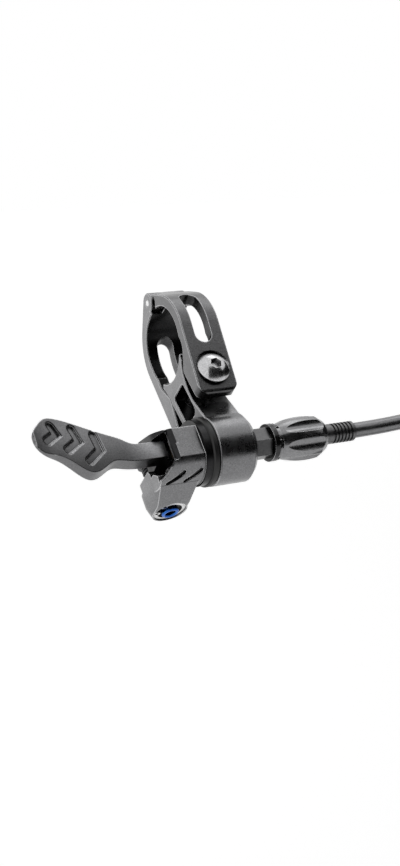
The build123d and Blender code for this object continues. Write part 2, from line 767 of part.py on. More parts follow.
with BuildPart() as chevrons:
    with BuildSketch(FACE_ON):
        for apex, upper, lower in CHEVRONS:
            with BuildLine():
                Polyline(
                    apex,
                    upper,
                    (upper[0] - CHEVRON_W, upper[1]),
                    (apex[0] - CHEVRON_W, apex[1] + CHEVRON_RISE),
                    (lower[0] - CHEVRON_W, lower[1] + CHEVRON_RISE),
                    lower,
                    close=True,
                )
            make_face()
    extrude(amount=THROUGH)
    with BuildSketch(Plane.XY.offset(BOSS_END_Z)):
        add(ribbon(-MARGIN, (RECESS_DEPTH, RECESS_DEPTH, RECESS_DEPTH)))
    extrude(amount=THROUGH, mode=Mode.INTERSECT)

with BuildPart() as thumb_lever:
    with BuildSketch(FACE_ON):
        with BuildLine():
            Line((LEVER_END_X, ARM_TOP_Z), (ARM_START_X, ARM_TOP_Z))
            Spline(
                (ARM_START_X, ARM_TOP_Z),
                *PADDLE_POINTS,
                (ARM_START_X, ARM_END_Z),
                tangents=((-1, 0), (1, 0)),
            )
            Polyline((ARM_START_X, ARM_END_Z), (LEVER_END_X, ARM_END_Z), (LEVER_END_X, ARM_TOP_Z))
        make_face()
    extrude(amount=THROUGH, both=True)
    with BuildSketch(Plane.XY.offset(BOSS_END_Z)):
        add(ribbon(0, (LEVER_T, LEVER_MID_T, LEVER_OUTER_T, LEVER_TIP_T)))
    extrude(amount=THROUGH, mode=Mode.INTERSECT)
    add(chevrons.part, mode=Mode.SUBTRACT)
    with BuildSketch(Plane.XY.offset(ARM_END_Z)):
        with BuildLine():
            Polyline(
                (LEVER_END_X, LEVER_FACE_Y + ROOT_INSET),
                (ARM_ROOT_X, LEVER_FACE_Y + ROOT_INSET),
                (ARM_ROOT_X, LEVER_FACE_Y + LEVER_T),
                (PIVOT_X - HUB_R, PIVOT_Y),
                (PIVOT_X + HUB_R, PIVOT_Y),
                (LEVER_END_X, ROOT_SHOULDER_Y),
                close=True,
            )
        make_face()
    extrude(amount=ARM_TOP_Z - ARM_END_Z)
    with BuildSketch(level(HUB_TOP_Z)):
        Circle(SPRING_RECESS_R)
    extrude(amount=SPRING_ROOM, mode=Mode.SUBTRACT)
    with BuildSketch(level(FORK_END_Z + HUB_GAP)):
        Circle(HUB_R)
    extrude(amount=HUB_TOP_Z - FORK_END_Z - HUB_GAP)
    with BuildSketch(level(FORK_END_Z)):
        Circle(PIN_D / 2 + FIT)
    extrude(amount=FORK_GAP, mode=Mode.SUBTRACT)
    with BuildSketch(Plane.XY.offset(ARM_END_Z)):
        with Locations((ANCHOR_X, CABLE_Y)):
            Circle(ANCHOR_R + FIT)
    extrude(amount=ARM_TOP_Z - ARM_END_Z, mode=Mode.SUBTRACT)
    with BuildSketch(across(ANCHOR_X)):
        Rectangle(CABLE_SLOT_W, CABLE_D + 2 * CABLE_ROOM)
    extrude(amount=LEVER_END_X - ANCHOR_X, mode=Mode.SUBTRACT)
save(thumb_lever, "thumb_lever")

with BuildPart() as cable_anchor:
    with BuildSketch(Plane.XY.offset(ARM_END_Z + EDGE / 2)):
        with Locations((ANCHOR_X, CABLE_Y)):
            Circle(ANCHOR_R)
    extrude(amount=ARM_TOP_Z - ARM_END_Z - EDGE)
    with BuildSketch(across(ANCHOR_X - ANCHOR_R)):
        Circle(CABLE_HEAD_D / 2 + FIT)
    extrude(amount=ANCHOR_R, mode=Mode.SUBTRACT)
    with BuildSketch(across(ANCHOR_X - ANCHOR_R)):
        Circle(CABLE_D / 2 + FIT)
    extrude(amount=2 * ANCHOR_R, mode=Mode.SUBTRACT)
save(cable_anchor, "cable_anchor")

# Inner cable with its soldered head
with BuildPart() as inner_cable:
    with BuildSketch(across(ANCHOR_X - CABLE_HEAD_L + FIT)):
        Circle(CABLE_HEAD_D / 2)
    extrude(amount=CABLE_HEAD_L - 2 * FIT)
    with BuildSketch(across(ANCHOR_X - FIT)):
        Circle(CABLE_D / 2)
    extrude(amount=FERRULE_END_X - ANCHOR_X)
save(inner_cable, "inner_cable")

with BuildPart() as return_spring:
    with BuildLine(level(HUB_TOP_Z + SPRING_WIRE)):
        coil = Helix(pitch=SPRING_PITCH, height=SPRING_PITCH * SPRING_TURNS, radius=SPRING_R)
    with BuildSketch(Plane(origin=coil @ 0, z_dir=coil % 0)):
        Circle(SPRING_WIRE / 2)
    sweep()
    with BuildSketch(Plane(origin=coil @ 0, z_dir=coil % 0)):
        Circle(SPRING_WIRE / 2)
    extrude(amount=-SPRING_LEG)
    with BuildSketch(Plane(origin=coil @ 1, z_dir=coil % 1)):
        Circle(SPRING_WIRE / 2)
    extrude(amount=SPRING_LEG)
save(return_spring, "return_spring")

# Hollow bolt: hexagon outside the collar, shank through it into the housing
with BuildPart() as collar_bolt:
    with BuildSketch(across(HALF_W)):
        RegularPolygon(HEX_AF / 2, 6, major_radius=False, rotation=HEX_TURN)
    extrude(amount=HEX_L)
    with BuildSketch(across(HALF_W)):
        Circle(SHANK_D / 2)
    extrude(amount=CAVITY_END_X - HALF_W)
    with BuildSketch(across(CAVITY_END_X)):
        Circle(CABLE_D / 2 + CABLE_ROOM)
    extrude(amount=HEX_END_X - CAVITY_END_X, mode=Mode.SUBTRACT)
    with BuildSketch(across(HEX_END_X)):
        Circle(STUD_D / 2 + FIT)
    extrude(amount=-STUD_L - ADJUSTER_GAP, mode=Mode.SUBTRACT)
save(collar_bolt, "collar_bolt")

with BuildPart() as index_ring:
    with BuildSketch(across(INDEX_X)):
        Circle(INDEX_R)
        Circle(STUD_D / 2 + FIT, mode=Mode.SUBTRACT)
    extrude(amount=INDEX_T)
    with BuildSketch(across(INDEX_X + INDEX_T)):
        with PolarLocations((INDEX_R + STUD_D / 2) / 2, INDEX_NOTCHES):
            Rectangle(INDEX_R - STUD_D / 2 - 4 * FIT, NOTCH_W - 4 * FIT)
        Circle(INDEX_R, mode=Mode.INTERSECT)
    extrude(amount=NOTCH_DEPTH / 2)
save(index_ring, "index_ring")

# Barrel adjuster: fluted knob with a notched rim, and the stud that screws into the hollow bolt
with BuildPart() as barrel_adjuster:
    with BuildSketch(Plane.XY.offset(CABLE_Z)):
        with BuildLine():
            Polyline(
                (KNOB_X, CABLE_Y),
                (KNOB_X, CABLE_Y - KNOB_START_R),
                (KNOB_X + NOTCH_DEPTH, CABLE_Y - KNOB_START_R),
            )
            Spline(
                (KNOB_X + NOTCH_DEPTH, CABLE_Y - KNOB_START_R),
                (KNOB_X + KNOB_SHOULDER_L, CABLE_Y - KNOB_R),
                (KNOB_END_X - KNOB_ROUND, CABLE_Y - KNOB_R + EDGE / 2),
            )
            Line((KNOB_END_X - KNOB_ROUND, CABLE_Y - KNOB_R + EDGE / 2), (KNOB_END_X, CABLE_Y - KNOB_END_R))
            Polyline((KNOB_END_X, CABLE_Y - KNOB_END_R), (KNOB_END_X, CABLE_Y), (KNOB_X, CABLE_Y))
        make_face()
    revolve(axis=CABLE_AXIS)
    with BuildSketch(across(KNOB_X)):
        with PolarLocations((KNOB_START_R + STUD_D / 2) / 2 + MARGIN, INDEX_NOTCHES):
            Rectangle(KNOB_START_R - STUD_D / 2 + 2 * MARGIN, NOTCH_W)
    extrude(amount=NOTCH_DEPTH, mode=Mode.SUBTRACT)
    with BuildSketch(across(KNOB_X + NOTCH_DEPTH + MARGIN)):
        with PolarLocations(KNOB_R + FLUTE_R - FLUTE_DEPTH, FLUTES, start_angle=FLUTE_TURN):
            Circle(FLUTE_R)
    extrude(amount=KNOB_L, mode=Mode.SUBTRACT)
    with BuildSketch(across(KNOB_X - STUD_L - ADJUSTER_GAP)):
        Circle(STUD_D / 2)
    extrude(amount=STUD_L + NOTCH_DEPTH + ADJUSTER_GAP)
    with BuildSketch(across(KNOB_X - STUD_L - ADJUSTER_GAP)):
        Circle(CABLE_D / 2 + CABLE_ROOM)
    extrude(amount=KNOB_L + STUD_L + MARGIN, mode=Mode.SUBTRACT)
    with BuildSketch(across(KNOB_END_X)):
        Circle(FERRULE_NOSE_D / 2 + FIT)
    extrude(amount=-FERRULE_NOSE_L, mode=Mode.SUBTRACT)
save(barrel_adjuster, "barrel_adjuster")

with BuildPart() as ferrule:
    with BuildSketch(across(KNOB_END_X - FERRULE_NOSE_L)):
        Circle(FERRULE_NOSE_D / 2)
    extrude(amount=FERRULE_NOSE_L)
    with BuildSketch(across(KNOB_END_X)):
        Circle(FERRULE_D / 2)
    extrude(amount=FERRULE_L)
    chamfer(ferrule.faces().sort_by(Axis.X)[-1].edges(), length=EDGE)
    for groove in range(FERRULE_GROOVES):
        with BuildSketch(across(KNOB_END_X + FERRULE_FIRST + groove * FERRULE_PITCH)):
            Circle(FERRULE_D)
            Circle(FERRULE_D / 2 - FERRULE_GROOVE_DEPTH, mode=Mode.SUBTRACT)
        extrude(amount=FERRULE_GROOVE_W, mode=Mode.SUBTRACT)
    with BuildSketch(across(KNOB_END_X - FERRULE_NOSE_L)):
        Circle(CABLE_D / 2 + CABLE_ROOM)
    extrude(amount=FERRULE_NOSE_L + FERRULE_L, mode=Mode.SUBTRACT)
save(ferrule, "ferrule")

# Outer cable: the free stretch, the tied coil and its end ferrule, in the lever's hung position
tilt = radians(HANG_ANGLE)
exit_y = CABLE_Y * cos(tilt) + CABLE_Z * sin(tilt)
exit_z = -CABLE_Y * sin(tilt) + CABLE_Z * cos(tilt)
route = [Vector(FERRULE_END_X + x, exit_y + y, exit_z + z) for x, y, z in ROUTE]
radii = []
for before, corner, after in zip(route, route[1:], route[2:]):
    turn = (corner - before).get_angle(after - corner)
    shorter = min((corner - before).length, (after - corner).length)
    radii.append(CORNER_SHARE * shorter / slope(turn / 2))
print("cable route radii, mm", [round(radius, 1) for radius in radii])
with BuildPart() as cable_housing:
    with BuildLine():
        centre = FilletPolyline(*route, radius=radii)
    with BuildSketch(Plane(origin=centre @ 0, z_dir=centre % 0)):
        Circle(HOUSING_D / 2)
    sweep()
section_area = pi * HOUSING_D**2 / 4
print("housing volume over section times length", cable_housing.part.volume / section_area / centre.length)
save(cable_housing, "cable_housing", hang=0)

# The housing runs down into the coil's outermost turn, on its right
outer_turn_r = COIL_R + COIL_LAYER
entry_rise = sqrt((COIL_R + COIL_BUNDLE_H / 2) ** 2 - outer_turn_r**2)
coil_centre = route[-1] - Vector(outer_turn_r, COIL_COLUMN, entry_rise)


def coil_section(angle, radius=COIL_R, forward=0.0):
    """Plane across the coil's bundle, its angle in degrees about the coil's axis."""
    outward = Vector(cos(radians(angle)), 0, sin(radians(angle)))
    return Plane(
        origin=coil_centre + outward * radius + Vector(0, forward, 0),
        x_dir=outward,
        z_dir=Vector(sin(radians(angle)), 0, -cos(radians(angle))),
    )


with BuildPart() as cable_coil:
    with BuildSketch(coil_section(0)):
        RectangleRounded(COIL_BUNDLE_H, COIL_BUNDLE_W, HOUSING_D)
    revolve(axis=Axis(coil_centre, (0, 1, 0)))
save(cable_coil, "cable_coil", hang=0)

tie_growth = 2 * (TIE_ROOM + TIE_T)
with BuildPart() as coil_ties:
    for angle in TIE_ANGLES:
        with BuildSketch(coil_section(angle)):
            RectangleRounded(
                COIL_BUNDLE_H + tie_growth, COIL_BUNDLE_W + tie_growth, HOUSING_D + TIE_ROOM + TIE_T
            )
            RectangleRounded(
                COIL_BUNDLE_H + 2 * TIE_ROOM, COIL_BUNDLE_W + 2 * TIE_ROOM, HOUSING_D, mode=Mode.SUBTRACT
            )
        extrude(amount=TIE_W / 2, both=True)
save(coil_ties, "coil_ties", hang=0)

# The end ferrule lies along the coil's rider side
end_forward = -(COIL_BUNDLE_W + END_FERRULE_D) / 2 - END_GAP
with BuildPart() as end_ferrule:
    with BuildSketch(coil_section(END_ANGLE, COIL_R, end_forward)):
        Circle(END_FERRULE_D / 2)
    extrude(amount=END_FERRULE_L)
    chamfer(end_ferrule.edges().filter_by(GeomType.CIRCLE), length=EDGE)
save(end_ferrule, "end_ferrule", hang=0)
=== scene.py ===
# %% [markdown]
# # A dropper post remote on its handlebar clamp
#
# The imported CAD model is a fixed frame: every clamp half, lever, knob and pin is already there at
# its real size, in metres. This lesson adds what CAD leaves plain: the camera, the outer cable with
# its real turns, some finer carving, the finishes of anodised alloy, steel and plastic, and a soft
# studio.

# %% Load the frame
from math import atan2, cos, pi, radians, sin, sqrt

import bmesh
import bpy
from mathutils import Matrix, Vector


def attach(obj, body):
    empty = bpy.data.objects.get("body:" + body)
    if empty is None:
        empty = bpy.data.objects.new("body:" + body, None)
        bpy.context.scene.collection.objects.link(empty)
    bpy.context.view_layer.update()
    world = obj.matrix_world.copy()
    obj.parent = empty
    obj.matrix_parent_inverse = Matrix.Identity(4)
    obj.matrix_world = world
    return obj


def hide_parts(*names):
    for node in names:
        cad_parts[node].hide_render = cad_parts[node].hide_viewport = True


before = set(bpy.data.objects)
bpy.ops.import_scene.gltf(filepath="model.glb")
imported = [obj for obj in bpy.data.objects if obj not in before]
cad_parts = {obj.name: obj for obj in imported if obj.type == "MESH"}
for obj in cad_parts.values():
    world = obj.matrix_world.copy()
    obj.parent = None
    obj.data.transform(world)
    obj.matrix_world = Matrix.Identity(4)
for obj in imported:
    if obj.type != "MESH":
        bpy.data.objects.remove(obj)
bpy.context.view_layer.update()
MM = 0.001
print("nodes:", len(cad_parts))

# %% [markdown]
# ## The camera
#
# A camera can be placed by eye, or from what the picture says about the object. Here three
# directions are known: which way is right, which is up and which points back at the lens. They
# were fitted to the round bore, the collar and the line of the cable, so a matrix of those three
# columns turns the camera exactly. A long lens close to 50 mm keeps the gentle perspective.

# %% Camera from three directions
CAMERA_PLACE = Vector((-149.19, -310.63, 66.71)) * MM
CAMERA_RIGHT = Vector((0.89378, -0.44848, -0.00537))
CAMERA_UP = Vector((0.12210, 0.23176, 0.96508))
CAMERA_BACK = Vector((-0.43157, -0.86322, 0.26190))
CAMERA_LENS = 49.88

camera_data = bpy.data.cameras.new("studio_camera")
camera_data.lens = CAMERA_LENS
camera_data.sensor_width = 36.0
camera_data.clip_start = 0.01
camera_data.clip_end = 20.0
camera = bpy.data.objects.new("studio_camera", camera_data)
camera_turn = Matrix((CAMERA_RIGHT, CAMERA_UP, CAMERA_BACK)).transposed()
camera.matrix_world = Matrix.Translation(CAMERA_PLACE) @ camera_turn.to_4x4()
bpy.context.scene.collection.objects.link(camera)
bpy.context.scene.camera = camera
bpy.context.scene.view_settings.view_transform = "Standard"
print("camera at", tuple(round(c, 4) for c in CAMERA_PLACE), "lens", CAMERA_LENS)

# %% [markdown]
# ## The outer cable
#
# Outer cable is a fixed length of stiff tube. It leaves its ferrule straight, bends over in one
# wide arc and is put away as a tied coil. It could be swept as a mesh, but a curve keeps one smooth
# centreline that can be measured. The free stretch repeats the CAD route's points, and each turn of
# the coil is twelve more points of the same spline. The spline runs a little inside its points, so
# those of a turn lie further out by a fixed factor. Order 3 and the pinned ends are set after the
# points exist, because before that Blender lowers them.

# %% Route of the free stretch, in millimetres
HOUSING_D = 4.5
EXIT = Vector((42.1, -27.365, -24.820))
ROUTE = (
    (0, 0, 0),
    (9, 0, 0),
    (24, 0.3, 0.9),
    (46, 0.8, 1.8),
    (67, 0.6, -1),
    (81.2, 0.3, -13),
    (85.9, 0, -31),
    (86.1, 0, -45),
)
route = [EXIT + Vector(point) for point in ROUTE]
print("free stretch, points:", len(route))

# %% Size of the coil, in millimetres
COIL_R = 26.0
LAYER = 4.75
COLUMN = 5.0
BUNDLE_H = 14.0
BUNDLE_W = 15.0
TURN_STEPS = 12
JOG_STEPS = 2
POLYGON_TO_CURVE = (3 + cos(2 * pi / TURN_STEPS)) / 4
outer_turn = COIL_R + LAYER
entry_rise = sqrt((COIL_R + BUNDLE_H / 2) ** 2 - outer_turn**2)
coil_centre = route[-1] - Vector((outer_turn, COLUMN, entry_rise))
print("coil centre:", tuple(round(c, 1) for c in coil_centre))


# %% Turns of the coil, three beside each other in three layers
def coil_point(angle, radius, across):
    """Point of a turn: angle clockwise from the right, across along the coil's axis."""
    reach = radius / POLYGON_TO_CURVE
    return coil_centre + Vector((reach * cos(angle), across, -reach * sin(angle)))


turns = []
for radius, way in ((outer_turn, 1), (COIL_R, -1), (COIL_R - LAYER, 1)):
    turns += [(radius, way * COLUMN), (radius, 0), (radius, -way * COLUMN)]
coil = []
before = turns[0]
for target in turns:
    for step in range(TURN_STEPS):
        share = min(step / JOG_STEPS, 1)
        radius, across = (old + (new - old) * share for old, new in zip(before, target))
        coil.append(coil_point(2 * pi * step / TURN_STEPS, radius, across))
    before = target
print("coil, points:", len(coil))

# %% The tail, over the coil's front to the end ferrule
FERRULE_D = 5.6
FERRULE_ANGLE = radians(155)
FERRULE_GAP = 0.1
FERRULE_RUN_IN = 6
FERRULE_HOLD = 1.0
SIDE_STEP = 1.5
CLIMB = ((60, 0.8, 0.6), (90, 2.2, 0), (118, 3.4, 0))
ferrule_front = -(BUNDLE_W + FERRULE_D) / 2 - FERRULE_GAP
last_r, last_across = turns[-1]
outward = Vector((cos(FERRULE_ANGLE), 0, -sin(FERRULE_ANGLE)))
along = Vector((-sin(FERRULE_ANGLE), 0, -cos(FERRULE_ANGLE)))
ferrule_start = coil_centre + outward * COIL_R + Vector((0, ferrule_front, 0))
tail = [coil_point(0, last_r, last_across)]
tail.append(coil_point(radians(30), last_r, last_across - SIDE_STEP))
for degrees, rise, short in CLIMB:
    tail.append(coil_point(radians(degrees), last_r + rise, ferrule_front + short))
tail += [ferrule_start - along * FERRULE_RUN_IN, ferrule_start + along * FERRULE_HOLD]
print("tail ends at", tuple(round(c, 1) for c in ferrule_start))


# %% One open spline
def cable_curve(name, points, diameter):
    """Round tube along one open spline; its depth is in millimetres, and each point scales it."""
    data = bpy.data.curves.new(name, "CURVE")
    data.dimensions = "3D"
    data.resolution_u = 6
    data.bevel_depth = diameter / 2
    data.bevel_resolution = 5
    data.use_fill_caps = True
    spline = data.splines.new("NURBS")
    spline.points.add(len(points) - 1)
    for point, place in zip(spline.points, points):
        point.co = (*(place * MM), 1)
        point.radius = MM
    spline.order_u = 3
    spline.use_endpoint_u = True
    piece = bpy.data.objects.new(name, data)
    bpy.context.scene.collection.objects.link(piece)
    return piece


outer_cable = cable_curve("outer_cable", route + coil + tail, HOUSING_D)
cable_length = outer_cable.data.splines[0].calc_length(resolution=32)
print("outer cable, metres:", round(cable_length, 3))
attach(outer_cable, "outer_cable")
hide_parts("cable_housing", "cable_coil")

# %% [markdown]
# ## Carving copies of the solids
#
# The CAD solids carry the main forms, and three pieces get finer carving here. Sculpting would blur
# their machined edges, and a bevel modifier tears on a CAD mesh of long thin triangles. So a copy
# of the node's mesh is cut by exact booleans with plain closed cutters, as a mill cuts the real
# alloy. The bracket hangs at 45 degrees, so places are given along its own axes: along the bar,
# behind the face that the rider sees, and up the bracket. The copies replace their nodes, which
# stay as they are for collision, hidden.

# %% A workable copy of a CAD node
WELD = 0.002


def carving_copy(node):
    """bmesh of a node's own mesh, with its split corners joined again."""
    work = bmesh.new()
    work.from_mesh(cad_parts[node].data)
    bmesh.ops.remove_doubles(work, verts=work.verts[:], dist=WELD * MM)
    return work


# %% Axes of the hanging bracket
FACING = Vector((0, -1, 1)).normalized()
UPRIGHT = Vector((0, 1, 1)).normalized()


def hanging(x, y, z):
    """Point x along the bar, y behind the face and z up the bracket, in metres from millimetres."""
    return (Vector((x, 0, 0)) - FACING * y + UPRIGHT * z) * MM


# %% A cutter between two rings
def cutter_between(near, far):
    """Closed solid between two rings of as many points, as an object that isn't shown."""
    work = bmesh.new()
    rings = [[work.verts.new(point) for point in ring] for ring in (near, far)]
    count = len(near)
    for step in range(count):
        after = (step + 1) % count
        work.faces.new((rings[0][step], rings[0][after], rings[1][after], rings[1][step]))
    caps = [work.faces.new(rings[0][::-1]), work.faces.new(rings[1])]
    bmesh.ops.triangulate(work, faces=caps)
    bmesh.ops.recalc_face_normals(work, faces=work.faces[:])
    mesh = bpy.data.meshes.new("cutter")
    work.to_mesh(mesh)
    work.free()
    return bpy.data.objects.new("cutter", mesh)


# %% The cut
def cut(work, cutters):
    """Take each cutter away from the bmesh by an exact boolean."""
    mesh = bpy.data.meshes.new("uncut")
    work.to_mesh(mesh)
    body = bpy.data.objects.new("uncut", mesh)
    bpy.context.scene.collection.objects.link(body)
    for cutter in cutters:
        bpy.context.scene.collection.objects.link(cutter)
        boolean = body.modifiers.new("cut", "BOOLEAN")
        boolean.operation = "DIFFERENCE"
        boolean.solver = "EXACT"
        boolean.object = cutter
    bpy.context.view_layer.update()
    evaluated = body.evaluated_get(bpy.context.evaluated_depsgraph_get())
    result = bpy.data.meshes.new_from_object(evaluated)
    work.clear()
    work.from_mesh(result)
    for spare in [body, *cutters]:
        data = spare.data
        bpy.data.objects.remove(spare)
        bpy.data.meshes.remove(data)
    bpy.data.meshes.remove(result)
    open_edges = sum(not edge.is_manifold for edge in work.edges)
    print("after the cut:", len(work.faces), "faces, open edges:", open_edges)


# %% The carved copy as a piece
SHARP_ANGLE = radians(25)


def carved_piece(name, work, node, body):
    """Piece that stands for a node, with its edges sharp where faces turn more than SHARP_ANGLE."""
    mesh = bpy.data.meshes.new(name)
    work.to_mesh(mesh)
    work.free()
    if "custom_normal" in mesh.attributes:
        mesh.attributes.remove(mesh.attributes["custom_normal"])
    mesh.materials.clear()
    mesh.shade_smooth()
    mesh.set_sharp_from_angle(angle=SHARP_ANGLE)
    piece = bpy.data.objects.new(name, mesh)
    bpy.context.scene.collection.objects.link(piece)
    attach(piece, body)
    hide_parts(node)
    print(name, "has", len(mesh.polygons), "faces")
    return piece


# %% [markdown]
# ## The lever housing
#
# The real housing is turned round and then milled. A slanted mouth lets the lever in, the wall on
# the rider's side ends in a round edge, and the boss under the mouth has a sloping top. Each of the
# three is one cutter. The mouth's rings follow the inside of the barrel, which leaves the thin rim
# that the real one has, and an inset of the face would not keep that rim even.

# %% The mouth, sunk square to its slanted face
LIP = (-22.9, -4.54)
SLANT_X, SLANT_Y = 0.65, -0.76
MOUTH_SLANT = 0.855
MOUTH_START, MOUTH_REACH = 0.5, 5.7
MOUTH_TOP_Z = -41.0
MOUTH_LEAST = 0.2
MOUTH_DEPTH = 3.0
MOUTH_WALL = 0.45
BARREL_Y, BARREL_Z, BARREL_R = -1.8, -36.9, 8.75
CUT_ABOVE = -1.0
inward = (Vector((1, 0, 0)) - FACING * MOUTH_SLANT).normalized()


def on_slant(along, z, depth):
    """Point of the slanted face, along it from the lip, sunk by depth."""
    return hanging(LIP[0] + along * SLANT_X, LIP[1] + along * SLANT_Y, z) + inward * depth * MM


def mouth_ring(depth, steps=10):
    """Ring round the hollow in the slanted face, one side of it along the inside of the barrel."""
    places = [MOUTH_START + (MOUTH_REACH - MOUTH_START) * step / steps for step in range(steps + 1)]
    ring = []
    for along in places:
        aside = LIP[1] + along * SLANT_Y - BARREL_Y
        low = BARREL_Z - sqrt(max((BARREL_R - MOUTH_WALL) ** 2 - aside**2, 0))
        ring.append(on_slant(along, min(low, MOUTH_TOP_Z - MOUTH_LEAST), depth))
    return ring + [on_slant(along, MOUTH_TOP_Z, depth) for along in (places[-1], places[0])]


housing_work = carving_copy("lever_housing")
cut(housing_work, [cutter_between(mouth_ring(CUT_ABOVE), mouth_ring(MOUTH_DEPTH))])

# %% The round edge of the rider's wall
WALL_X, WALL_Y, WALL_ROUND = -18.7, -9.45, 1.5
WALL_LOW_Z, WALL_HIGH_Z = -41.6, -31.0
WALL_OVER = 0.3
WALL_CLEAR = 1


def side_point(centre, heading, reach):
    """Point reach beside centre, heading in radians, in any plane of two coordinates."""
    return (centre[0] + reach * cos(heading), centre[1] + reach * sin(heading))


def wall_ring(z, steps=8):
    """Section of the corner outside the round edge, at one height."""
    centre = (WALL_X + WALL_ROUND, WALL_Y + WALL_ROUND)
    arc = [side_point(centre, pi + pi / 2 * step / steps, WALL_ROUND) for step in range(steps + 1)]
    arc[0] = (WALL_X - WALL_OVER, arc[0][1])
    arc[-1] = (arc[-1][0], WALL_Y - WALL_OVER)
    return [hanging(x, y, z) for x, y in arc + [(WALL_X - WALL_CLEAR, WALL_Y - WALL_CLEAR)]]


cut(housing_work, [cutter_between(wall_ring(WALL_LOW_Z), wall_ring(WALL_HIGH_Z))])

# %% The boss's sloping top, seen from its left side as y and z
BOSS_TOP = (
    (2.2, -38.0),
    (1.5, -39.45),
    (-3.18, -42.7),
    (-2.9, -44.6),
    (-4.9, -44.6),
    (-5.4, -43.5),
    (-5.4, -38.0),
)
BOSS_LEFT_X, BOSS_INNER_X = -24.0, -19.5
boss_rings = [[hanging(x, y, z) for y, z in BOSS_TOP] for x in (BOSS_LEFT_X, BOSS_INNER_X)]
cut(housing_work, [cutter_between(*boss_rings)])
housing_piece = carved_piece("housing_carved", housing_work, "lever_housing", "housing")

# %% [markdown]
# ## The thumb lever
#
# Three chevrons are sunk in the paddle's swept front. The CAD chevrons have square ends, while a
# round mill leaves round ones, so the solid's hollows are filled and cut again. A first pass cuts a
# shallow rim, and a second one the slot itself, whose walls lean. Both could be one pass, but then
# the boolean leaves edges open. The arm's end, deep in the mouth, is cut off square.

# %% The swept front, a piece of a cylinder that stands upright
SWEEP_X, SWEEP_Y, SWEEP_R = -30.0, -51.0, 46.0


def on_sweep(x, z, depth):
    """Point of the lever's swept front at this depth under it."""
    return hanging(x, SWEEP_Y + sqrt((SWEEP_R + depth) ** 2 - (x - SWEEP_X) ** 2), z)


def sweep_radius(place):
    """Distance of a place from the axis of the lever's sweep, in millimetres."""
    return sqrt((place.x / MM - SWEEP_X) ** 2 + (-place.dot(FACING) / MM - SWEEP_Y) ** 2)


# %% The solid's chevrons, filled
RECESS_R = 46.6
RECESS_SLACK = 0.03
RECESS_RIGHT_X = -33.0
lever_work = carving_copy("thumb_lever")
sunk = {
    face
    for vert in lever_work.verts
    if vert.co.x < RECESS_RIGHT_X * MM and abs(sweep_radius(vert.co) - RECESS_R) < RECESS_SLACK
    for face in vert.link_faces
}
bmesh.ops.delete(lever_work, geom=list(sunk), context="FACES")
rims = [edge for edge in lever_work.edges if edge.is_boundary]
filled = bmesh.ops.holes_fill(lever_work, edges=rims, sides=0)["faces"]
bmesh.ops.triangulate(lever_work, faces=filled)
print("chevrons filled:", len(sunk), "faces out,", len(filled), "in")

# %% Outline of a chevron, as start, knee and end in x and z
CHEVRONS = (
    ((-50.1, -27.1), (-49.0, -29.3), (-52.5, -32.0)),
    ((-43.8, -27.4), (-42.7, -30.9), (-46.7, -33.8)),
    ((-37.8, -29.2), (-37.1, -33.7), (-41.1, -36.9)),
)


def chevron_outline(start, knee, end, half, steps=8):
    """Bent slot of half width with round ends and a sharp knee, in the plane of x and z."""
    first = atan2(knee[1] - start[1], knee[0] - start[0])
    second = atan2(end[1] - knee[1], end[0] - knee[0])
    corner = (first + second) / 2 + pi / 2
    mitre = half / cos((second - first) / 2)
    sides = range(steps + 1)
    outline = [side_point(start, first + pi / 2 + pi * step / steps, half) for step in sides]
    outline.append(side_point(knee, corner + pi, mitre))
    outline += [side_point(end, second - pi / 2 + pi * step / steps, half) for step in sides]
    outline.append(side_point(knee, corner, mitre))
    return outline


# %% Rims first, then the slots
CHEVRON_HALF_W = 1.15
CHEVRON_DEPTH = 0.7
CHEVRON_DRAFT = 0.4
RIM_W = 0.3
RIM_DEPTH = 0.18


def chevron_cutters(top_half, base_half, depth):
    """Cutters from above the swept front down to depth, one for each chevron."""
    cutters = []
    for chevron in CHEVRONS:
        top = [on_sweep(x, z, CUT_ABOVE) for x, z in chevron_outline(*chevron, top_half)]
        base = [on_sweep(x, z, depth) for x, z in chevron_outline(*chevron, base_half)]
        cutters.append(cutter_between(top, base))
    return cutters


rim_half = CHEVRON_HALF_W + RIM_W
slot_top_half = CHEVRON_HALF_W + CHEVRON_DRAFT
slot_base_half = CHEVRON_HALF_W - CHEVRON_DRAFT * CHEVRON_DEPTH
cut(lever_work, chevron_cutters(rim_half, rim_half, RIM_DEPTH))
cut(lever_work, chevron_cutters(slot_top_half, slot_base_half, CHEVRON_DEPTH))

# %% The arm's end in the mouth
ARM_END = ((-18.4, -8.0), (-18.4, -3.2), (-12.0, -3.2), (-12.0, -8.0))
ARM_LOW_Z, ARM_HIGH_Z = -42.0, -32.0
arm_rings = [[hanging(x, y, z) for x, y in ARM_END] for z in (ARM_LOW_Z, ARM_HIGH_Z)]
cut(lever_work, [cutter_between(*arm_rings)])
lever_piece = carved_piece("lever_carved", lever_work, "thumb_lever", "lever")

# %% [markdown]
# ## The clamp bolt
#
# A button head is a low dome over a short rim. The solid has a flat one in the same circle and of
# the same height. A dome could be turned anew with spin, but the head has its socket already, so
# only those of its points that stand out of the dome are sunk to it.

